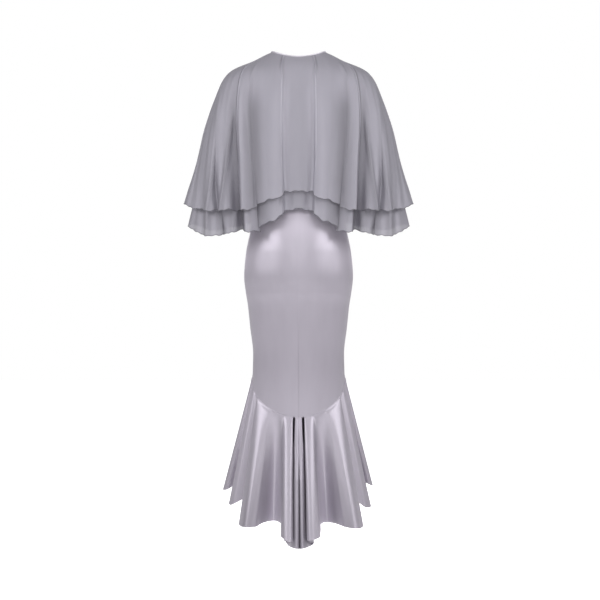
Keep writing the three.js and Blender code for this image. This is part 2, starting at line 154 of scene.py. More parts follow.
# Cape folds in mm: the level where each starts, and its bottom point at each tier's hem
FOLD_COLUMNS = ("at", "start", "x_upper", "y_upper", "z_upper", "x_lower", "y_lower", "z_lower")
CAPE_FOLDS = [
    (0, 0.1, 0, -128, -409, 0, -116, -457),
    (0.16, 0.05, 36, -127, -409, 35, -115, -461),
    (0.21, 0.03, 42.5, -138, -422, 42, -127, -471),
    (0.3, 0.05, 55, -141, -426, 55, -130, -477),
    (0.46, 0.15, 80, -137, -432, 73, -124, -491),
    (0.62, 0.25, 102, -119, -441, 95, -108, -500),
    (0.72, 0.25, 116, -109, -447, 111, -97, -515),
    (0.8, 0.25, 125, -114, -455, 119, -106, -519),
    (0.9, 0.22, 143, -127, -460, 133, -117, -520),
    (0.97, 0.2, 160, -120, -461, 148, -109, -519),
    (1, 0.2, 160, -88, -459, 149, -76, -515),
    (1.06, 0.2, 173, -93, -459, 160, -82, -514),
    (1.13, 0.2, 196, -113, -459, 178, -98, -519),
    (1.19, 0.2, 212, -108, -459, 196, -92, -524),
    (1.24, 0.2, 224, -91, -459, 209, -80, -526),
    (1.29, 0.2, 242, -106, -462, 228, -93, -530),
    (1.35, 0.2, 261, -90, -459, 252, -84, -530),
    (1.4, 0.25, 277, -67, -454, 270, -62, -526),
    (1.45, 0.3, 305, -44, -448, 292, -38, -512),
    (1.5, 0.3, 327, -6, -433, 315, -6, -500),
    (1.55, 0.3, 312, 28, -441, 300, 24, -492),
    (1.6, 0.25, 288, 46, -447, 280, 42, -497),
    (1.66, 0.2, 283, 80, -452, 270, 72, -503),
    (1.74, 0.2, 256, 88, -454, 244, 80, -505),
    (1.82, 0.2, 232, 114, -452, 219, 104, -501),
    (1.9, 0.2, 204, 101, -448, 192, 92, -496),
    (2, 0.2, 170, 108, -441, 161, 98, -490),
    (2.08, 0.2, 170, 140, -436, 160, 129, -486),
    (2.22, 0.2, 148, 150, -430, 141, 139, -480),
    (2.36, 0.25, 120, 137, -424, 114, 127, -474),
    (2.56, 0.25, 85, 158, -416, 81, 147, -466),
    (2.76, 0.2, 50, 147, -410, 47, 136, -460),
    (2.9, 0.15, 24, 157, -406, 23, 146, -456),
    (3, 0.1, 0, 151, -405, 0, 140, -455),
]
CAPE_FRONT = 3
CAPE_LOOP = 2 * CAPE_FRONT
CAPE_SIDE = 1.5
CAPE_BEND = 2
# How slowly the folds grow to the hem, on the panels and on the sleeves, and how they change over
FOLD_EASE = 1.2
SLEEVE_EASE = 2.1
SLEEVE_SPAN = (1.03, 1.14, 1.9, 1.98)

# Fine ripples of each cloth: wave length along the hem, height and phase, in mm and radians
CHIFFON_RIPPLES = [
    (47, 0.7, 0.4),
    (29, 0.3, 2.1),
]
SATIN_RIPPLES = [
    (61, 0.8, 1.3),
    (37, 0.5, 3.4),
]

# Soft creases on the body: turn round the body, height, length, width, slant and depth in mm
BODY_CREASES = [
    (0.16, -560, 60, 22, 0.5, -1.0),
    (3.84, -560, 60, 22, -0.5, -1.0),
    (0.45, -520, 70, 18, 0.3, -1.2),
    (3.55, -520, 70, 18, -0.3, -1.2),
    (0.1, -700, 90, 30, 0.1, -0.8),
    (3.9, -690, 95, 30, -0.1, -0.8),
    (0.62, -620, 80, 26, 0.35, -0.9),
    (3.38, -625, 80, 26, -0.35, -0.9),
    (0.35, -830, 120, 28, -0.1, 0.7),
    (3.65, -840, 120, 28, 0.1, 0.7),
    (2.0, -560, 90, 26, 0.0, -1.0),
    (1.6, -540, 80, 24, -0.4, -1.0),
    (2.4, -545, 80, 24, 0.4, -1.0),
    (1.75, -760, 110, 30, 0.1, 0.8),
    (2.3, -770, 110, 30, -0.1, 0.8),
]

# Creases of the cape: tier (0 is both), face (-1 back, 1 front), distance from the centre at the
# top, middle and bottom, height of the top and bottom, width and depth, in mm
CAPE_CREASES = [
    (0, -1, 33, 37, 32, -60, -440, 9, 4),
    (0, -1, 62, 68, 66, -90, -440, 15, 4),
    (0, -1, 128, 126, 120, -105, -450, 24, -11),
    (0, -1, 112, 126, 134, -36, -90, 5, -2.5),
    (0, -1, 183, 199, 218, -165, -470, 6, -6),
    (0, -1, 222, 234, 256, -110, -470, 8, -5),
    (0, -1, 262, 272, 292, -190, -470, 12, -2),
    (2, -1, 22, 22, 22, -380, -500, 7, 2),
    (2, -1, 51, 52, 52, -380, -500, 11, 5),
    (2, -1, 90, 91, 92, -380, -500, 17, -7),
    (2, -1, 128, 130, 132, -380, -520, 12, 5),
    (2, -1, 172, 176, 180, -400, -520, 9, -4),
    (2, -1, 205, 210, 214, -400, -540, 10, -3),
    (0, 1, 36, 44, 38, -85, -410, 4, 1.6),
    (0, 1, 75, 84, 86, -110, -420, 18, -4),
    (0, 1, 118, 124, 118, -110, -430, 16, 4),
    (0, 1, 192, 204, 222, -180, -470, 8, -4),
    (0, 1, 228, 238, 256, -130, -470, 12, -3.5),
]
# The edge of the back and front panels: how far the sleeve lies behind it, by level, in mm
EDGE_COLUMNS = ("at", "step")
PANEL_EDGE = [(0, 0), (0.04, 0.8), (0.12, 1.2), (0.35, 3), (0.6, 4), (1, 3)]
# Where the sleeve steps back and comes forward again, and the edge's own rise
EDGE_STEP = (-0.016, -0.002)
EDGE_REACH = 0.13
EDGE_LIP = (-0.028, 0.014)
LIP_SHARE = 0.15
# The pressed pleat beside the centre: its column at the hem, and its place at each level
PLEAT = 0.21
PLEAT_COLUMNS = ("at", "place")
PLEAT_LINE = [(0, 0.38), (0.12, 0.285), (0.25, 0.24), (0.42, 0.235), (0.75, 0.235), (1, 0.2)]
# Extra columns of points beside each panel edge and each pleat
EDGE_STOPS = (-0.045, -0.03, -0.016, -0.009, -0.002, 0.004, 0.012, 0.02)
PLEAT_STOPS = (-0.015, -0.007, 0.004, 0.01, 0.018, 0.03, 0.045)

# Lines that run down a cloth: place across it, width, how far it stands out in mm (or, for painted
# light and shade, how much lighter it is), and where down the cloth it starts, is full, fades and
# ends
CAPE_RIDGES = [
    (PLEAT + 0.004, 0.01, 1.6, 0.02, 0.08, *TO_END),
    (PLEAT + 0.032, 0.016, -2, *FROM_TOP, 0.1, 0.3),
]
# Painted light and shade of the cape: a dark seam line at each panel's edge, partly the seam
# allowance seen through the chiffon and partly painted shadow beside the lapped edge; a painted
# highlight along that edge and along the pressed pleat; painted shade beside the pleat, at its
# tucks by the neck and in a broad band down the panels
CAPE_PAINTED_LIGHT = [
    (1.004, 0.009, -0.45, *FROM_TOP, *TO_END),
    (0.986, 0.008, 0.12, 0.2, 0.35, *TO_END),
    (PLEAT + 0.004, 0.009, 0.11, *FROM_TOP, *TO_END),
    (PLEAT + 0.004, 0.009, 0.11, *FROM_TOP, 0.8, 1),
    (PLEAT - 0.02, 0.012, -0.1, *FROM_TOP, *TO_END),
    (PLEAT + 0.03, 0.014, -0.2, *FROM_TOP, 0.08, 0.22),
    (0.66, 0.16, -0.12, 0.3, 0.6, 0.85, 1),
]
# Painted shade on the sleeve: columns where each part of it starts and is full, and how much
SLEEVE_PAINTED_SHADE = [(1.0, 1.02, 0.05), (1.2, 1.4, 0.07)]
# The painted shadow behind a panel's edge: its start, how fast it fades, its strength and span of
# levels
BEHIND_START, BEHIND_REACH, BEHIND_PAINTED_SHADOW, BEHIND_SPAN = 1.004, 0.07, 0.32, (0.22, 0.7)
# Painted light from the relief: how much a mm of it lightens the chiffon (troughs darker, ridges
# lighter), the limits of that, and how much darker the rolled hem is, partly the denser folded
# cloth and partly painted shade
RELIEF_PAINTED_LIGHT, RELIEF_PAINTED_LIGHT_LIMITS, HEM_DENSE_AND_SHADED = 0.025, (0.7, 1.1), 0.5
# Levels where the ripples and all of the relief are full, and the ripples' share at the neck
RIPPLE_START, RELIEF_START, RIPPLE_SHARE = 0.15, 0.04, 0.15
# How far above its top a crease starts in mm, and the share of its length until it is full
CREASE_START, CREASE_GROWTH = 5, 0.25
# Rises and dips of the cape's hem: height, length across, length to the front, and phase
HEM_WAVES = [(1.6, 6.1, math.inf, 0.8), (1.0, 3.7, 9, 0)]
HEM_SPAN = (0.8, 1)

# Distance round the body from one turn to the next, in mm
QUARTER_GIRTH = 190
# Grooves along the body's seams: turn, then width and the rest of a line, down the body in mm
BODY_GROOVES = [
    (0, 1.2, -0.2, 640, 860, *TO_END),
    (1, 1.2, -0.3, *FROM_TOP, *TO_END),
    (3, 1.2, -0.3, *FROM_TOP, *TO_END),
]
# The painted shade along the centre seam, and the roundness of the hips at the back, the latter as
# lines by their distance from the centre
CENTRE_SEAM_PAINTED_SHADE = [(0, 1.5, -0.08, 740, 900, *TO_END)]
HIP_FORMS = [(100, 55, 1.6, 470, 620, 620, 760), (0, 40, -1.4, 470, 620, 620, 760)]
# Painted highlights and shade of the body, as lines by their distance from the side seams: a
# painted highlight on the hips below the cape and on their flanks, and painted shade below that
# highlight
BODY_PAINTED_LIGHT = [
    (0, math.inf, 0.32, *FROM_TOP, 480, 580),
    (0, math.inf, -0.14, 560, 740, 850, 1050),
    (0, 30, 0.2, *FROM_TOP, 700, 900),
    (0, 55, 0.6, *FROM_TOP, 580, 660),
]
# The flounce seam: how deep it draws the cloth in, in mm, how wide on each side, and the painted
# shade along it
SEAM_DIP, BODY_SEAM_WIDTH, FLOUNCE_SEAM_WIDTH = 0.8, 0.014, 0.006
SEAM_PAINTED_SHADE, SEAM_PAINTED_SHADE_WIDTH = -0.3, 0.01

# Deep gaps beside the box pleat's underlay: side, fold, half width in folds, depth in mm, and
# the drops between which each fades out
FLOUNCE_SLITS = [
    (-1, 4.4, 1.5, 38, 0.13, 0.26),
    (1, 4.3, 1.6, 38, 0.13, 0.26),
]
SLIT_TOP = (0.004, 0.03)
# How much painted shade darkens a gap, and how much further down that painted shade fades
SLIT_PAINTED_SHADE, SLIT_PAINTED_SHADE_REACH = 0.55, 1.6
# Painted light and shade in bands down the flounce's back: distance from the centre at the seam
# and at the hem and width in mm, and how much lighter the painted light makes each end
FLOUNCE_PAINTED_LIGHT = [
    (66, 68, 12, 0.12, 0.36),
    (50, 40, 7, -0.3, -0.16),
    (78, 102, 12, -0.02, -0.18),
    (82, 138, 13, 0.02, -0.2),
    (116, 150, 9, -0.12, -0.1),
    (128, 178, 9, 0.1, 0.04),
]
# The drops where the painted bands come in below the seam
PAINTED_BAND_START = (0.01, 0.08)
# The box pleat's underlay and the pressed line down its centre, as lines by fold that sink in
UNDERLAY = [(0, 2.2, -20, 0.2, 0.5, *TO_END)]
CENTRE_LINE = [(0, 0.2, 7, 0.3, 0.55, *TO_END)]
# Painted shade on the sunk underlay and along the pressed centre line
UNDERLAY_PAINTED_SHADE = [(0, 3, -0.06, 0.15, 0.4, *TO_END)]
CENTRE_LINE_PAINTED_SHADE = [(0, 0.25, -0.3, 0.2, 0.5, *TO_END)]
# Painted light and shade of the folds: how much a mm of a fold's rise lightens it and of its dip
# darkens it, over how many columns, and the limits of that
FOLD_PAINTED_LIGHT, FOLD_COLUMN_REACH, FOLD_PAINTED_LIGHT_LIMITS = 0.02, 8, (-0.1, 0.12)

# Rows of points from each piece's top to its end, and columns on a quarter of the body
BODY_ROWS = [
    *np.linspace(0, BODY_SEAM - 0.12, 225),
    *(BODY_SEAM - near for near in (0.08, 0.06, 0.045, 0.03, 0.02, 0.012, 0.006, 0)),
]
FLOUNCE_ROWS = [0, 0.004, 0.008, 0.014, 0.02, *np.linspace(SEAM_DROP, 1, 88)]
CAPE_ROWS = np.linspace(0, 1, 120) ** 0.9
QUARTER_COLUMNS = 64
# Extra columns beside the body's seams, in mm, and how much wider the flounce's columns are
BESIDE_SEAM = (1, 2, 3)
FLOUNCE_SPACING = 1.2
# Points that measure a stretch of hem, before its columns are placed
PROBES = 9

# Panels: where each starts and ends round its piece, flat size in m and cut area in m2
BODY_PANELS = {
    "body_back_left": (0, 1, (0.25, 1.04), 0.192),
    "body_front": (1, 3, (0.42, 0.94), 0.345),
    "body_back_right": (3, 4, (0.25, 1.04), 0.192),
}
FLOUNCE_PANELS = {
    "flounce_back_left": (0, FLOUNCE_SIDE, (0.55, 0.42), 0.13),
    "flounce_front": (FLOUNCE_SIDE, FLOUNCE_LOOP - FLOUNCE_SIDE, (0.78, 0.38), 0.19),
    "flounce_back_right": (FLOUNCE_LOOP - FLOUNCE_SIDE, FLOUNCE_LOOP, (0.55, 0.42), 0.13),
}
CAPE_PANELS = {
    "back": (-1, 1, (0.5, 0.5), 0.175),
    "sleeve_left": (1, 2, (0.64, 0.5), 0.145),
    "front": (2, 4, (0.5, 0.46), 0.16),
    "sleeve_right": (4, 5, (0.64, 0.5), 0.145),
}
# Corners of a rolled hem's section, the slope where it is turned another way, and the size of
# the seam's roll as a share of the satin's wall
ROLL_SIDES = 8
STEEP = 0.9
SEAM_ROLL = 0.6

# The neck binding: points round the neck and round the strip, how its section leans, and the
# middle, half size and roundness of that section in mm
BINDING_COUNT, BINDING_SIDES = 240, 16
BINDING_DROP, BINDING_RISE = -0.35, 0.65
BINDING_HEIGHT, BINDING_OUT, BINDING_ROUND = (0.9, 1.5), (-0.9, 1.2), 0.6
BINDING_PITCH = 2.0


class Curves:
    """A smooth curve through each column of a table, with no overshoot between its rows."""

    def __init__(self, columns, rows):
        table = np.array(rows, dtype=float)
        self.at = table[:, 0]
        self.values = {}
        gap = np.diff(self.at)
        for index, column in enumerate(columns[1:], start=1):
            value = table[:, index]
            chord = np.diff(value) / gap
            slope = np.empty_like(value)
            slope[0] = chord[0]
            slope[-1] = chord[-1]
            before, after = chord[:-1], chord[1:]
            weight_before = 2 * gap[1:] + gap[:-1]
            weight_after = gap[1:] + 2 * gap[:-1]
            same = before * after > 0
            safe_before = np.where(same, before, 1)
            safe_after = np.where(same, after, 1)
            pull = weight_before / safe_before + weight_after / safe_after
            mean = (weight_before + weight_after) / pull
            slope[1:-1] = np.where(same, mean, 0)
            self.values[column] = (value, slope)

    def __call__(self, column, place):
        value, slope = self.values[column]
        place = np.clip(place, self.at[0], self.at[-1])
        i = np.clip(np.searchsorted(self.at, place) - 1, 0, len(self.at) - 2)
        width = self.at[i + 1] - self.at[i]
        s = (place - self.at[i]) / width
        rise = s * s * (3 - 2 * s)
        early = s * (1 - s) ** 2 * width
        late = s * s * (1 - s) * width
        return value[i] + (value[i + 1] - value[i]) * rise + slope[i] * early - slope[i + 1] * late


BODY = Curves(BODY_COLUMNS, BODY_SECTIONS)
FLOUNCE = Curves(FLOUNCE_COLUMNS, FLOUNCE_FOLDS)
TIERS = {"upper": Curves(CAPE_COLUMNS, UPPER_LEVELS), "lower": Curves(CAPE_COLUMNS, LOWER_LEVELS)}
FOLDS = Curves(FOLD_COLUMNS, CAPE_FOLDS)
EDGE = Curves(EDGE_COLUMNS, PANEL_EDGE)
PLEATS = Curves(PLEAT_COLUMNS, PLEAT_LINE)


def smooth_step(value, low, high):
    """0 below low, 1 above high, with a soft rise between."""
    share = np.clip((value - low) / (high - low), 0, 1)
    return share * share * (3 - 2 * share)


def span(value, start, full, fade, end):
    """A soft rise from start to full and a soft fall from fade to end."""
    return smooth_step(value, start, full) * (1 - smooth_step(value, fade, end))


def bump(value, centre, width, power=2):
    """1 at the centre, falling softly to nearly 0 at twice the width."""
    return np.exp(-(((value - centre) / width) ** power))


def lines_down(rows, across, down, power=2):
    """Sum of the lines of a table that run down a cloth."""
    total = np.zeros_like(across)
    for centre, width, strength, *ends in rows:
        total += strength * bump(across, centre, width, power) * span(down, *ends)
    return total


def mirrored(place, middle):
    """Places round a loop as places on its left half, and whether each lies on the right."""
    wrapped = np.mod(place, 2 * middle)
    right = wrapped > middle
    return np.where(right, 2 * middle - wrapped, wrapped), right


def unit(vectors):
    """The vectors, each made one long."""
    return vectors / np.maximum(np.linalg.norm(vectors, axis=-1, keepdims=True), TINY)


def lengths_along(line):
    """How far along a line each of its points lies."""
    return np.concatenate([[0], np.cumsum(np.linalg.norm(np.diff(line, axis=0), axis=-1))])


def section_point(curves, at, angle, side, bend):
    """A point on an oval section, its angle running from the centre back to the centre front."""
    sine, cosine = np.sin(angle * DEGREE), np.cos(angle * DEGREE)
    depth = np.where(cosine > 0, curves("back", at), curves("front", at))
    z_end = np.where(cosine > 0, curves("z_back", at), curves("z_front", at))
    z_side = curves("z_side", at)
    z = z_side + (z_end - z_side) * np.abs(cosine) ** bend
    return np.stack([side * curves("half_width", at) * sine, -depth * cosine, z], axis=-1)


def body_point(turn, at):
    """Body surface: 0 centre back, 1 left side, 2 centre front, 3 right side."""
    half, right = mirrored(turn, 2)
    side = np.where(right, 1, -1)
    edge = BODY("edge", at)
    angle = np.where(half > 1, 180 - (2 - half) * edge, half * edge)
    return section_point(BODY, at, angle, side, BODY("bend", at))


def flounce_point(fold, drop):
    """Flounce surface: fold counts round the loop, drop is 0 at the seam and 1 at the hem."""
    place, right = mirrored(fold, FLOUNCE_FRONT)
    side = np.where(right, 1, -1)
    angle = FLOUNCE("angle", place)
    top = section_point(BODY, BODY_SEAM + 0 * place, angle, side, BODY("bend", BODY_SEAM))
    proud = FLOUNCE("proud", place) * np.clip(drop / SEAM_DROP, 0, 1)
    top[..., 0] += side * proud * np.sin(angle * DEGREE)
    top[..., 1] -= proud * np.cos(angle * DEGREE)
    x = np.where(right, FLOUNCE("x_right", place), -FLOUNCE("x_left", place))
    z = np.where(right, FLOUNCE("z_right", place), FLOUNCE("z_left", place))
    hem = np.stack([x, FLOUNCE("y", place), z], axis=-1)
    return top + (hem - top) * drop[..., None]


def flounce_cloth(fold, drop):
    """Flounce surface with the gaps beside its box pleat and the line down its centre."""
    point = flounce_point(fold, drop)
    place, right = mirrored(fold, FLOUNCE_FRONT)
    sunk = lines_down(CENTRE_LINE, place, drop) + lines_down(UNDERLAY, place, drop, power=4)
    for side, centre, half_width, depth, *fade in FLOUNCE_SLITS:
        gap = bump(place, centre, half_width, 4) * span(drop, *SLIT_TOP, *fade)
        sunk += np.where(right == (side > 0), depth * gap, 0)
    point[..., 1] += sunk
    return point


def cape_base(curves, place, side, level):
    """Cape level without folds, place running 0 to 3 from the centre back to the centre front."""
    raglan = curves("raglan", level)
    angle = np.where(place > 1, raglan + (place - 1) * (180 - 2 * raglan), place * raglan)
    angle = np.where(place > 2, 180 - (3 - place) * raglan, angle)
    return section_point(curves, level, angle, side, CAPE_BEND)


def pleat_place(place, level):
    """Where a column of the back or front panel lies at a level, so that one follows the pleat."""
    front = place > CAPE_SIDE
    column = np.minimum(place, CAPE_FRONT - place)
    line = PLEATS("place", level)
    inside = column * line / PLEAT
    outside = line + (column - PLEAT) * (1 - line) / (1 - PLEAT)
    moved = np.where(column < PLEAT, inside, outside)
    moved = np.where(column < 1, moved, column)
    return np.where(front, CAPE_FRONT - moved, moved)


def cape_point(tier, turn, level):
    """Cape surface: 0 centre back, 1 and 2 left sleeve seams, 3 centre front, 4 and 5 right."""
    place, right = mirrored(turn, CAPE_FRONT)
    side = np.where(right, 1, -1)
    curves = TIERS[tier]
    start = FOLDS("start", place)
    ease = FOLD_EASE + (SLEEVE_EASE - FOLD_EASE) * span(place, *SLEEVE_SPAN)
    grown = np.clip((level - start) / (1 - start), 0, None) ** ease
    end = cape_base(curves, place, side, np.ones_like(level))
    x = side * FOLDS("x_" + tier, place)
    hem = np.stack([x, FOLDS("y_" + tier, place), FOLDS("z_" + tier, place)], axis=-1)
    base = cape_base(curves, pleat_place(place, level), side, level)
    return base + (hem - end) * grown[..., None]


def upper_point(turn, level):
    """Surface of the cape's upper tier."""
    return cape_point("upper", turn, level)


def lower_point(turn, level):
    """Surface of the cape's lower tier."""
    return cape_point("lower", turn, level)


def normals_of(surface, across, down):
    """Outward unit normals of a surface on a grid of places."""
    along = surface(across + STEP, down) - surface(across - STEP, down)
    below = surface(across, down + STEP) - surface(across, down - STEP)
    return unit(np.cross(below, along))


def fine_places(surface, stops, start, end, spacing):
    """Places between two ends that pass through the stops, about one spacing apart at the hem."""
    inside = [stop for stop in stops if start + STEP < stop < end - STEP]
    ends = [start, *inside, end]
    places = []
    for low, high in zip(ends[:-1], ends[1:]):
        probe = np.linspace(low, high, PROBES)
        line = surface(probe, np.ones_like(probe))
        count = max(2, math.ceil(lengths_along(line)[-1] / spacing))
        places.extend(np.linspace(low, high, count, endpoint=False))
    places.append(end)
    return np.array(places)


def ripples(rows, distance):
    """Sum of the fine waves of a cloth along its hem."""
    total = np.zeros_like(distance)
    for length, height, phase in rows:
        total += height * np.sin(2 * math.pi * distance / length + phase)
    return total


def grid_of(surface, across, down, relief):
    """Points and normals of a cloth on a grid, its relief added along the normals."""
    turns, drops = np.meshgrid(across, down)
    points = surface(turns, drops)
    normals = normals_of(surface, turns, drops)
    points = points + normals * relief(turns, drops, points)[..., None]
    return points, grid_normals(points, normals)


def grid_normals(points, guide):
    """Normals of a grid of points, on the same side as the guide normals."""
    along = np.gradient(points, axis=1)
    below = np.gradient(points, axis=0)
    normal = np.cross(below, along)
    size = np.linalg.norm(normal, axis=-1, keepdims=True)
    return np.where(size > TINY, unit(normal), guide)


def grid_faces(rows, columns, offset=0, flip=False):
    """Quads of a grid of rows and columns."""
    index = offset + np.arange(rows * columns).reshape(rows, columns)
    a, b, c, d = index[:-1, :-1], index[1:, :-1], index[1:, 1:], index[:-1, 1:]
    quads = np.stack([a, b, c, d] if not flip else [a, d, c, b], axis=-1)
    return quads.reshape(-1, 4)


class Cloth:
    """Collects the points, faces and cloth coordinates of one piece."""

    def __init__(self):
        self.points = []
        self.faces = []
        self.coords = []
        self.shades = []
        self.count = 0

    def add(self, points, faces, coords, shade=1.0):
        """Add points with their faces, places on the cloth and painted light and shade."""
        self.points.append(points.reshape(-1, 3))
        self.coords.append(coords.reshape(-1, 2))
        self.faces.append(faces + self.count)
        size = self.points[-1].shape[0]
        self.shades.append(np.broadcast_to(np.ravel(shade), size))
        self.count += size

    def sheet(self, points, shade):
        """Add a single layer of cloth on a grid of points."""
        rows, columns = points.shape[:2]
        self.add(points, grid_faces(rows, columns), cloth_coords(points), shade)

    def shell(self, points, normals, wall, shade):
        """Add a closed wall of cloth on a grid of points."""
        rows, columns = points.shape[:2]
        coords = cloth_coords(points)
        inner = points - normals * wall
        size = rows * columns
        outer_faces = grid_faces(rows, columns)
        inner_faces = grid_faces(rows, columns, size, flip=True)
        index = np.arange(size).reshape(rows, columns)
        rim = np.concatenate([index[0, :-1], index[:-1, -1], index[-1, :0:-1], index[:0:-1, 0]])
        nxt = np.roll(rim, -1)
        edge_faces = np.stack([rim, nxt, nxt + size, rim + size], axis=-1)
        faces = np.concatenate([outer_faces, inner_faces, edge_faces])
        both = np.concatenate([points.reshape(-1, 3), inner.reshape(-1, 3)])
        self.add(both, faces, np.concatenate([coords, coords]), np.tile(np.ravel(shade), 2))

    def roll(self, line, radius, shade=1.0):
        """Add a rolled hem or piped seam along an open line."""
        sides = ROLL_SIDES
        tangent = unit(np.gradient(line, axis=0))
        up = np.tile(np.array([0.0, 0.0, 1.0]), (len(line), 1))
        up[np.abs(tangent[:, 2]) > STEEP] = (0.0, -1.0, 0.0)
        side = unit(np.cross(tangent, up))[:, None, :]
        other = np.cross(side[:, 0], tangent)[:, None, :]
        turn = np.arange(sides) * 2 * math.pi / sides
        ring = np.cos(turn)[:, None] * side + np.sin(turn)[:, None] * other
        points = line[:, None, :] + radius * ring
        count = len(line)
        index = np.arange(count * sides).reshape(count, sides)
        far = np.roll(index, -1, axis=1)
        faces = np.stack([index[:-1], far[:-1], far[1:], index[1:]], axis=-1).reshape(-1, 4)
        along = lengths_along(line)[:, None]
        coords = np.stack(np.broadcast_arrays(along, turn * radius), axis=-1)
        self.add(points, faces, coords, shade)
        corners = np.arange(sides)
        fan = np.stack([corners, np.roll(corners, -1), np.full(sides, sides)], axis=-1)
        for end in (points[0][::-1], points[-1]):
            cap = np.vstack([end, end.mean(axis=0)])
            self.add(cap, fan, np.zeros((len(cap), 2)), shade)

    def build(self, name, material):
        """Make the piece's mesh and object from all that was added."""
        points = np.concatenate(self.points) * MM
        if not np.isfinite(points).all():
            raise RuntimeError(f"{name} has a point without a place")
        mesh = bpy.data.meshes.new(name)
        faces = [list(map(int, face)) for block in self.faces for face in block]
        mesh.from_pydata(points.tolist(), [], faces)
        layer = mesh.uv_layers.new(name="cloth")
        coords = np.concatenate(self.coords) * MM
        corner = np.empty(len(mesh.loops), dtype=np.int32)
        mesh.loops.foreach_get("vertex_index", corner)
        layer.data.foreach_set("uv", coords[corner].astype(np.float32).ravel())
        # Each point's painted light and shade, which the material multiplies into the cloth's
        # colour
        shades = mesh.attributes.new("shade", "FLOAT", "POINT")
        shades.data.foreach_set("value", np.concatenate(self.shades).astype(np.float32))
        mesh.shade_smooth()
        mesh.set_sharp_from_angle(angle=SHARP_ANGLE)
        mesh.materials.append(material)
        mesh.update()
        piece = bpy.data.objects.new(name, mesh)
        bpy.context.scene.collection.objects.link(piece)
        return piece


def cloth_coords(points):
    """Distances across and down a cloth in mm, for its weave."""
    rows, columns = points.shape[:2]
    across = lengths_along(points[rows // 2])
    down = lengths_along(points[:, columns // 2])
    return np.stack(np.meshgrid(across, down), axis=-1).reshape(-1, 2)


# Materials


def new_group(name, output, **inputs):
    """An empty shader node group of numbers, or the one that is there already."""
    group = bpy.data.node_groups.get(name)
    if group is not None:
        return group, None, None
    group = bpy.data.node_groups.new(name, "ShaderNodeTree")
    kind = "NodeSocketFloat"
    for label, value in inputs.items():
        socket = group.interface.new_socket(name=label, in_out="INPUT", socket_type=kind)
        socket.default_value = value
    group.interface.new_socket(name=output, in_out="OUTPUT", socket_type=kind)
    return group, group.nodes.new("NodeGroupInput").outputs, group.nodes.new("NodeGroupOutput")


def feed(tree, node, **inputs):
    """Set a node's inputs to numbers and colours, or join them to sockets."""
    for label, value in inputs.items():
        socket = node.inputs[label.replace("_", " ")]
        if isinstance(value, bpy.types.NodeSocket):
            tree.links.new(value, socket)
        else:
            socket.default_value = value
    return node


def maths(tree, operation, first, second=None):
    """The result of one sum on numbers or sockets."""
    node = tree.nodes.new("ShaderNodeMath")
    node.operation = operation
    tree.links.new(first, node.inputs[0])
    if isinstance(second, float):
        node.inputs[1].default_value = second
    elif second is not None:
        tree.links.new(second, node.inputs[1])
    return node.outputs[0]


def cloth_place(group):
    """The place on the cloth, across and down."""
    place = group.nodes.new("ShaderNodeUVMap")
    place.uv_map = "cloth"
    split = feed(group, group.nodes.new("ShaderNodeSeparateXYZ"), Vector=place.outputs["UV"])
    return split.outputs["X"], split.outputs["Y"]


def weave_group():
    """The height of crossed threads for the bump."""
    group, given, out = new_group("Weave", "Height", Threads=900.0, Float=0.25)
    if given is None:
        return group
    across, down = (maths(group, "MULTIPLY", at, given["Threads"]) for at in cloth_place(group))
    slow = maths(group, "MULTIPLY", down, given["Float"])
    warp, weft = (
        maths(group, "SINE", maths(group, "MULTIPLY", threads, 2 * math.pi))
        for threads in (across, slow)
    )
    feed(group, out, Height=maths(group, "MULTIPLY", warp, weft))
    return group


def mottle_group():
    """Slow uneven shading of a dyed cloth, stretched along its grain."""
    group, given, out = new_group("Mottle", "Shade", Scale=6.0, Stretch=4.0)
    if given is None:
        return group
    across, down = cloth_place(group)
    joined = group.nodes.new("ShaderNodeCombineXYZ")
    feed(group, joined, X=maths(group, "MULTIPLY", across, given["Stretch"]), Y=down)
    noise = group.nodes.new("ShaderNodeTexNoise")
    feed(group, noise, Detail=3.0, Vector=joined.outputs[0], Scale=given["Scale"])
    feed(group, out, Shade=noise.outputs["Fac"])
    return group


def painted_light_group():
    """Painted light and shade of the cloth, from the value at each point: darker in its folds,
    seams and recesses, lighter where highlights are painted.
    """
    group, given, out = new_group("Painted light", "Shade", Depth=1.0)
    if given is None:
        return group
    point = group.nodes.new("ShaderNodeAttribute")
    point.attribute_name = "shade"
    less = maths(group, "SUBTRACT", point.outputs["Fac"], 1.0)
    scaled = maths(group, "MULTIPLY", less, given["Depth"])
    feed(group, out, Shade=maths(group, "ADD", scaled, 1.0))
    return group


def place_group(tree, group, **values):
    """One use of a node group in a material, with its inputs set."""
    node = tree.nodes.new("ShaderNodeGroup")
    node.node_tree = group
    return feed(tree, node, **values)


def multiplied(tree, colour, shade):
    """A fixed colour, or one from a socket, times a shade."""
    mix = tree.nodes.new("ShaderNodeMix")
    mix.data_type = "RGBA"
    mix.blend_type = "MULTIPLY"
    return feed(tree, mix, Factor=1.0, A=colour, B=shade).outputs["Result"]


def tint(tree, colour, shade, low, high):
    """A colour made lighter and darker by a shade between two factors."""
    ranged = tree.nodes.new("ShaderNodeMapRange")
    feed(tree, ranged, Value=shade, To_Min=low, To_Max=high)
    return multiplied(tree, (*colour, 1.0), ranged.outputs["Result"])


def bumped(tree, height, strength, distance):
    """A bump node that follows a height, its distance in metres."""
    node = tree.nodes.new("ShaderNodeBump")
    return feed(tree, node, Strength=strength, Distance=distance, Height=height)


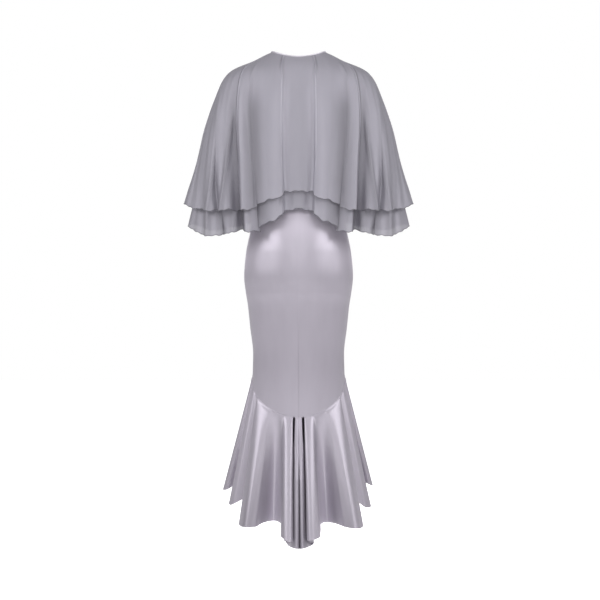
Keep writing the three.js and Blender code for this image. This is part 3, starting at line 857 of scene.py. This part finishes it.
def cloth_material(slot, colours):
    """The woven cloth of a slot, made once."""
    name, finish = CLOTHS[slot]
    material = bpy.data.materials.get(name)
    if material is not None:
        return material
    material = bpy.data.materials.new(name)
    material.use_nodes = True
    tree = material.node_tree
    shader = tree.nodes["Principled BSDF"]
    for socket, value in finish["shader"].items():
        shader.inputs[socket].default_value = value
    weave = place_group(tree, weave_group(), **finish["weave"])
    mottle = place_group(tree, mottle_group(), **finish["mottle"])
    # The cloth's colour is darkened and lightened by its painted light and shade
    fold = place_group(tree, painted_light_group(), Depth=1.0)
    base = tint(tree, getattr(colours, slot), mottle.outputs["Shade"], *finish["tint"])
    painted_colour = multiplied(tree, base, fold.outputs["Shade"])
    slow = bumped(tree, mottle.outputs["Shade"], *finish["slow_bump"])
    fine = bumped(tree, weave.outputs["Height"], *finish["fine_bump"])
    feed(tree, fine, Normal=slow.outputs["Normal"])
    feed(tree, shader, Base_Color=painted_colour, Normal=fine.outputs["Normal"])
    return material


# Finish of each cloth: its shader's numbers, threads a metre, mottle, range of its tint, and the
# strength and height in m of the slow bump and of the weave's
SATIN_FINISH = {
    "shader": {"Metallic": 0.4, "Roughness": 0.38, "Specular IOR Level": 0.5},
    "weave": {"Threads": 1500.0, "Float": 0.2},
    "mottle": {"Scale": 9.0, "Stretch": 5.0},
    "tint": (0.95, 1.05),
    "slow_bump": (0.25, 0.0012),
    "fine_bump": (0.12, 0.00006),
}
CHIFFON_FINISH = {
    "shader": {"Metallic": 0.5, "Roughness": 0.56, "Specular IOR Level": 0.5, "Alpha": 0.92},
    "weave": {"Threads": 1100.0, "Float": 1.0},
    "mottle": {"Scale": 20.0, "Stretch": 4.0},
    "tint": (0.97, 1.03),
    "slow_bump": (0.2, 0.0006),
    "fine_bump": (0.3, 0.00012),
}
CLOTHS = {
    "satin": ("Lilac grey satin", SATIN_FINISH),
    "chiffon": ("Lilac grey chiffon", CHIFFON_FINISH),
    # The binding's strip is paler than the satin: a painted highlight for the light it catches
    "binding": ("Satin strip with painted highlight", SATIN_FINISH),
}


# Settings


def length(name, description, default, low, high):
    """A length in metres."""
    return bpy.props.FloatProperty(
        name=name,
        description=description,
        default=default,
        min=low,
        max=high,
        subtype="DISTANCE",
        unit="LENGTH",
    )


def colour(name, description, default):
    """A colour in linear red, green and blue."""
    return bpy.props.FloatVectorProperty(
        name=name, description=description, default=default, min=0, max=1, subtype="COLOR"
    )


class DressSizes(bpy.types.PropertyGroup):
    """Sizes of the cloth."""

    satin_wall: length("Satin thickness", "Thickness of the satin", 0.0008, 0.0003, 0.003)
    hem_roll: length("Chiffon hem roll", "Radius of the cape's rolled hem", 0.0008, 0.0003, 0.002)
    grid: length("Grid spacing", "Distance between points at the hems", 0.0032, 0.002, 0.02)


class DressColours(bpy.types.PropertyGroup):
    """Colours of the cloth and the studio."""

    satin: colour("Satin", "Colour of the dress's satin", (0.385, 0.357, 0.413))
    chiffon: colour("Chiffon", "Colour of the cape's chiffon", (0.318, 0.306, 0.35))
    # Paler than the satin: a painted highlight for the light the binding catches
    binding: colour("Binding", "Colour of the neck binding", (0.55, 0.53, 0.58))
    floor: colour("Floor", "Colour of the studio floor", (0.95, 0.95, 0.95))


# Pieces


def finish_piece(piece, node):
    """Hide the solid that a cloth stands for, and hang the cloth on the root."""
    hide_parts(node)
    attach(piece, "root")


def round_body(turns, turn):
    """Distance round the body from a turn, in mm."""
    return (np.mod(turns - turn + 2, 4) - 2) * QUARTER_GIRTH


def body_relief(turns, ats, points):
    """Soft creases, round hips and shallow grooves along the seams."""
    total = np.zeros_like(turns)
    x, y, z = np.moveaxis(points, -1, 0)
    for turn, height, length, width, slant, depth in BODY_CREASES:
        along = z - height
        lean = round_body(turns, turn) - slant * along
        total += depth * np.exp(-((along / length) ** 2) - (lean / width) ** 2)
    for turn, *groove in BODY_GROOVES:
        total += lines_down([(0, *groove)], round_body(turns, turn), -z)
    total += np.where(y < 0, lines_down(HIP_FORMS, np.abs(x), -z), 0)
    return total - SEAM_DIP * bump(ats, BODY_SEAM, BODY_SEAM_WIDTH)


def body_shade(turns, ats, points):
    """Painted light of the body's satin: painted shade along its seams, and its bands of painted
    highlight and shade.
    """
    below = -points[..., 2]
    side = np.minimum(np.abs(round_body(turns, 1)), np.abs(round_body(turns, 3)))
    shade = 1 + SEAM_PAINTED_SHADE * bump(ats, BODY_SEAM, SEAM_PAINTED_SHADE_WIDTH)
    shade += lines_down(CENTRE_SEAM_PAINTED_SHADE, round_body(turns, 0), below)
    return shade + lines_down(BODY_PAINTED_LIGHT, side, below)


def flounce_relief(folds, drops, points):
    """Fine ripples that grow towards the hem, and the dip along the seam."""
    waves = ripples(SATIN_RIPPLES, lengths_along(points[-1])) * drops**1.5
    return waves - SEAM_DIP * bump(drops, 0, FLOUNCE_SEAM_WIDTH)


def fold_depth(points, normals, reach):
    """How far each point of a cloth stands out from the mean of its row within a reach, in mm."""
    columns = points.shape[1]
    padded = np.pad(points, ((0, 0), (reach + 1, reach), (0, 0)), mode="edge")
    sums = np.cumsum(padded, axis=1)
    mean = (sums[:, 2 * reach + 1 :] - sums[:, :columns]) / (2 * reach + 1)
    return ((points - mean) * normals).sum(axis=-1)


def flounce_shade(folds, drops, points, normals):
    """Painted light of the flounce's satin: painted shade in its gaps, on its underlay and centre
    line, its painted bands, and its folds lighter on rises and darker in dips.
    """
    place, right = mirrored(folds, FLOUNCE_FRONT)
    shade = 1 + lines_down(CENTRE_LINE_PAINTED_SHADE, place, drops)
    shade += lines_down(UNDERLAY_PAINTED_SHADE, place, drops, power=4)
    for side, centre, half_width, _, start, end in FLOUNCE_SLITS:
        fade = 1 - smooth_step(drops, start, SLIT_PAINTED_SHADE_REACH * end)
        gap = SLIT_PAINTED_SHADE * bump(place, centre, half_width, 4) * fade
        shade -= np.where(right == (side > 0), gap, 0)
    x, y = np.abs(points[..., 0]), points[..., 1]
    visible = np.where(y < 0, smooth_step(drops, *PAINTED_BAND_START), 0)
    for seam_x, hem_x, width, top, hem in FLOUNCE_PAINTED_LIGHT:
        painted_light = top + (hem - top) * drops
        shade += painted_light * bump(x, seam_x + (hem_x - seam_x) * drops, width) * visible
    rise = fold_depth(points, normals, FOLD_COLUMN_REACH)
    return shade + np.clip(FOLD_PAINTED_LIGHT * rise, *FOLD_PAINTED_LIGHT_LIMITS)


def cape_relief(tier, turns, levels, points):
    """Ripples, creases, pleats and the steps at the panels' edges of one tier of the cape."""
    waves = ripples(CHIFFON_RIPPLES, lengths_along(points[-1]))
    growth = RIPPLE_SHARE + (1 - RIPPLE_SHARE) * levels
    relief = waves * growth * np.clip(levels / RIPPLE_START, 0, 1)
    place = mirrored(turns, CAPE_FRONT)[0]
    face = np.where(place < CAPE_SIDE, -1, 1)
    x, z = np.abs(points[..., 0]), points[..., 2]
    for tier_of, face_of, x_top, x_middle, x_bottom, z_top, z_bottom, width, depth in CAPE_CREASES:
        if tier_of not in (0, tier):
            continue
        t = np.clip((z_top - z) / (z_top - z_bottom), 0, 1)
        ends = (1 - t) * (1 - 2 * t) * x_top + t * (2 * t - 1) * x_bottom
        path = ends + 4 * t * (1 - t) * x_middle
        full = z_top - CREASE_GROWTH * (z_top - z_bottom)
        crease = depth * bump(x, path, width) * smooth_step(z, z_top + CREASE_START, full)
        relief += np.where(face == face_of, crease, 0)
    for away in (place - 1, 2 - place):
        behind = smooth_step(away, *EDGE_STEP) * np.exp(-np.clip(away, 0, None) / EDGE_REACH)
        relief += EDGE("step", levels) * (LIP_SHARE * bump(away, *EDGE_LIP) - behind)
    relief += lines_down(CAPE_RIDGES, np.minimum(place, CAPE_FRONT - place), levels)
    return relief * np.clip(levels / RELIEF_START, 0, 1)


def cape_shade(turns, levels, relief):
    """Painted light of the chiffon: painted shade in its troughs and light on its ridges, painted
    shadow behind the panels' edges, painted shade on the sleeves, and its painted lines.
    """
    place = mirrored(turns, CAPE_FRONT)[0]
    column = np.minimum(place, CAPE_FRONT - place)
    shade = np.clip(1 + RELIEF_PAINTED_LIGHT * relief, *RELIEF_PAINTED_LIGHT_LIMITS)
    past = column - BEHIND_START
    behind = np.exp(-np.clip(past, 0, None) / BEHIND_REACH) * (past > 0)
    shade -= BEHIND_PAINTED_SHADOW * behind * smooth_step(levels, *BEHIND_SPAN)
    for start, full, painted_light in SLEEVE_PAINTED_SHADE:
        shade -= painted_light * smooth_step(column, start, full)
    return shade + lines_down(CAPE_PAINTED_LIGHT, column, levels)


def hem_waves(points, levels):
    """Small rises and dips of the cape's hem line."""
    x, y = np.abs(points[..., 0]), points[..., 1]
    waves = sum(
        height * np.sin(x / across + y / deep + phase) for height, across, deep, phase in HEM_WAVES
    )
    return waves * smooth_step(levels, *HEM_SPAN)


class DRESS_OT_body(bpy.types.Operator):
    """Make the satin front and back panels of the fitted body"""

    bl_idname = "dress.body"
    bl_label = "Body"

    def execute(self, context):
        material = cloth_material("satin", context.scene.dress_colours)
        wall = context.scene.dress_sizes.satin_wall / MM
        beside = np.array(BESIDE_SEAM) / QUARTER_GIRTH
        for name, (start, end, flat, area) in BODY_PANELS.items():
            even = np.linspace(start, end, QUARTER_COLUMNS * (end - start) + 1)
            columns = np.unique(np.concatenate([even, start + beside, end - beside]))
            points, normals = grid_of(body_point, columns, BODY_ROWS, body_relief)
            shade = body_shade(*np.meshgrid(columns, BODY_ROWS), points)
            cloth = Cloth()
            cloth.shell(points, normals, wall, shade)
            piece = cloth.build(name + "_cloth", material)
            finish_piece(piece, name)
        return {"FINISHED"}


class DRESS_OT_flounce(bpy.types.Operator):
    """Make the three panels of the fishtail flounce"""

    bl_idname = "dress.flounce"
    bl_label = "Flounce"

    def execute(self, context):
        sizes = context.scene.dress_sizes
        material = cloth_material("satin", context.scene.dress_colours)
        wall = sizes.satin_wall / MM
        spacing = FLOUNCE_SPACING * sizes.grid / MM
        for name, (start, end, flat, area) in FLOUNCE_PANELS.items():
            columns = fine_places(flounce_cloth, range(FLOUNCE_LOOP + 1), start, end, spacing)
            points, normals = grid_of(flounce_cloth, columns, FLOUNCE_ROWS, flounce_relief)
            shade = flounce_shade(*np.meshgrid(columns, FLOUNCE_ROWS), points, normals)
            cloth = Cloth()
            cloth.shell(points, normals, wall, shade)
            cloth.roll(points[0] - normals[0] * wall, SEAM_ROLL * wall)
            piece = cloth.build(name + "_cloth", material)
            finish_piece(piece, name)
        return {"FINISHED"}


class DRESS_OT_cape(bpy.types.Operator):
    """Make the panels and flutter sleeves of both tiers of the cape"""

    bl_idname = "dress.cape"
    bl_label = "Cape"

    def execute(self, context):
        sizes = context.scene.dress_sizes
        material = cloth_material("chiffon", context.scene.dress_colours)
        half = [row[0] for row in CAPE_FOLDS]
        half += [1 + stop for stop in EDGE_STOPS] + [2 - stop for stop in EDGE_STOPS]
        beside = [PLEAT + stop for stop in PLEAT_STOPS]
        half += beside + [CAPE_FRONT - place for place in beside]
        stops = sorted({*half, *(-stop for stop in half), *(CAPE_LOOP - stop for stop in half)})
        for number, tier, surface in ((1, "upper", upper_point), (2, "lower", lower_point)):
            for part, (start, end, flat, area) in CAPE_PANELS.items():
                columns = fine_places(surface, stops, start, end, sizes.grid / MM)
                turns, levels = np.meshgrid(columns, CAPE_ROWS)
                plain = surface(turns, levels)
                relief = cape_relief(number, turns, levels, plain)
                points = plain + normals_of(surface, turns, levels) * relief[..., None]
                points[..., 2] += hem_waves(points, levels)
                cloth = Cloth()
                cloth.sheet(points, cape_shade(turns, levels, relief))
                # The rolled hem is darker, partly the denser folded cloth and partly painted shade
                cloth.roll(points[-1], sizes.hem_roll / MM, HEM_DENSE_AND_SHADED)
                node = f"cape_{tier}_{part}"
                piece = cloth.build(node + "_cloth", material)
                finish_piece(piece, node)
        return {"FINISHED"}


class DRESS_OT_binding(bpy.types.Operator):
    """Make the satin strip that binds the neck"""

    bl_idname = "dress.binding"
    bl_label = "Neck binding"

    def execute(self, context):
        material = cloth_material("binding", context.scene.dress_colours)
        turns = np.linspace(0, CAPE_LOOP, BINDING_COUNT, endpoint=False)
        zero = np.zeros_like(turns)
        base = upper_point(turns, zero)
        below = unit(upper_point(turns, zero + STEP) - base)
        normal = normals_of(upper_point, turns, zero + 2 * STEP)[:, None, :]
        rise = unit(BINDING_DROP * below + np.array([0, 0, BINDING_RISE]))[:, None, :]
        corner = np.arange(BINDING_SIDES) * 2 * math.pi / BINDING_SIDES
        height, out = (
            middle + size * np.sign(wave) * np.abs(wave) ** BINDING_ROUND
            for (middle, size), wave in (
                (BINDING_HEIGHT, np.sin(corner)),
                (BINDING_OUT, np.cos(corner)),
            )
        )
        points = base[:, None, :] + rise * height[:, None] + normal * out[:, None]
        count, sides = points.shape[:2]
        index = np.arange(count * sides).reshape(count, sides)
        right, up = np.roll(index, -1, axis=0), np.roll(index, -1, axis=1)
        both = np.roll(right, -1, axis=1)
        faces = np.stack([index, right, both, up], axis=-1).reshape(-1, 4)
        around = np.arange(count)[:, None] * BINDING_PITCH
        coords = np.stack(np.broadcast_arrays(around, corner * BINDING_PITCH), axis=-1)
        cloth = Cloth()
        cloth.add(points, faces, coords)
        piece = cloth.build("neck_binding_cloth", material)
        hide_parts("neck_binding")
        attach(piece, "root")
        return {"FINISHED"}


# Studio

FLOOR_LEVEL = -1.75
FLOOR_REACH = 14.0
FLOOR_ROUGHNESS = 0.9
FLOOR_GLOW = 0.4
WORLD_GLOW = 0.38
# Soft lights: name, place, where each points, size across and down, and power in watts
LIGHTS = [
    ("Key", (0, -3.2, 0.9), (0, 0, -0.5), (3.0, 1.5), 22),
    ("Key left", (-2.8, -1.3, 0.9), (0, 0, -0.5), (2.6, 1.5), 52),
    ("Key right", (2.8, -1.3, 0.9), (0, 0, -0.5), (2.6, 1.5), 52),
    ("Fill", (0, -4.4, -0.6), (0, 0, -0.7), (6.0, 2.4), 18),
    ("Top", (0, -1.0, 2.1), (0, 0, -0.2), (2.6, 1.4), 20),
    ("Front", (0, 4.0, 0.7), (0, 0, -0.6), (3.6, 1.4), 60),
]
CAMERA_PLACE = (0.004, -4.0, -0.709)
CAMERA_LENS, CAMERA_SENSOR = 84.2, 36


def seen_glow(tree, glow, socket):
    """Full white where the eye sees it, and a soft glow on everything else."""
    seen = tree.nodes.new("ShaderNodeLightPath")
    ranged = tree.nodes.new("ShaderNodeMapRange")
    feed(tree, ranged, Value=seen.outputs["Is Camera Ray"], To_Min=glow)
    tree.links.new(ranged.outputs["Result"], socket)


class DRESS_OT_stage(bpy.types.Operator):
    """Make the pale studio floor, the soft lights and the camera"""

    bl_idname = "dress.stage"
    bl_label = "Studio"

    def execute(self, context):
        scene = context.scene
        corners = [(-1, -1), (1, -1), (1, 1), (-1, 1)]
        points = [(x * FLOOR_REACH, y * FLOOR_REACH, FLOOR_LEVEL) for x, y in corners]
        mesh = bpy.data.meshes.new("studio_floor")
        mesh.from_pydata(points, [], [(0, 1, 2, 3)])
        floor = bpy.data.objects.new("studio_floor", mesh)
        scene.collection.objects.link(floor)
        material = bpy.data.materials.new("Pale floor")
        material.use_nodes = True
        shader = material.node_tree.nodes["Principled BSDF"]
        colour = (*scene.dress_colours.floor, 1.0)
        looks = {"Base_Color": colour, "Emission_Color": colour, "Roughness": FLOOR_ROUGHNESS}
        feed(material.node_tree, shader, **looks)
        seen_glow(material.node_tree, FLOOR_GLOW, shader.inputs["Emission Strength"])
        mesh.materials.append(material)

        world = bpy.data.worlds.new("Soft surround")
        world.use_nodes = True
        background = world.node_tree.nodes["Background"]
        background.inputs["Color"].default_value = (1, 1, 1, 1)
        seen_glow(world.node_tree, WORLD_GLOW, background.inputs["Strength"])
        scene.world = world

        for name, place, target, size, power in LIGHTS:
            data = bpy.data.lights.new(name, "AREA")
            data.shape = "RECTANGLE"
            data.size, data.size_y = size
            data.energy = power
            lamp = bpy.data.objects.new(name, data)
            lamp.location = place
            aim = Vector(target) - Vector(place)
            lamp.rotation_euler = aim.to_track_quat("-Z", "Y").to_euler()
            scene.collection.objects.link(lamp)

        camera = bpy.data.cameras.new("Camera")
        camera.sensor_width = CAMERA_SENSOR
        camera.lens = CAMERA_LENS
        eye = bpy.data.objects.new("Camera", camera)
        eye.location = CAMERA_PLACE
        eye.rotation_euler = (math.pi / 2, 0, 0)
        scene.collection.objects.link(eye)
        scene.camera = eye
        scene.view_settings.view_transform = "Standard"
        return {"FINISHED"}


class DRESS_PT_panel(bpy.types.Panel):
    """Lists the pieces of the dress and their settings"""

    bl_label = "Caped dress"
    bl_idname = "DRESS_PT_panel"
    bl_space_type = "VIEW_3D"
    bl_region_type = "UI"
    bl_category = "Dress"

    def draw(self, context):
        layout = self.layout
        for group in (context.scene.dress_sizes, context.scene.dress_colours):
            for name in group.bl_rna.properties.keys():
                if name not in {"rna_type", "name"}:
                    layout.prop(group, name)
        for operator in OPERATORS:
            layout.operator(operator.bl_idname)


OPERATORS = (DRESS_OT_body, DRESS_OT_flounce, DRESS_OT_cape, DRESS_OT_binding, DRESS_OT_stage)
CLASSES = (DressSizes, DressColours, *OPERATORS, DRESS_PT_panel)


def register():
    """Add the settings, operators and panel."""
    for cls in CLASSES:
        bpy.utils.register_class(cls)
    bpy.types.Scene.dress_sizes = bpy.props.PointerProperty(type=DressSizes)
    bpy.types.Scene.dress_colours = bpy.props.PointerProperty(type=DressColours)


def unregister():
    """Take them out again."""
    del bpy.types.Scene.dress_sizes
    del bpy.types.Scene.dress_colours
    for cls in reversed(CLASSES):
        bpy.utils.unregister_class(cls)


def main():
    """Build the dress and its studio."""
    register()
    bpy.ops.dress.body()
    bpy.ops.dress.flounce()
    bpy.ops.dress.cape()
    bpy.ops.dress.binding()
    bpy.ops.dress.stage()


if __name__ == "__main__":
    main()
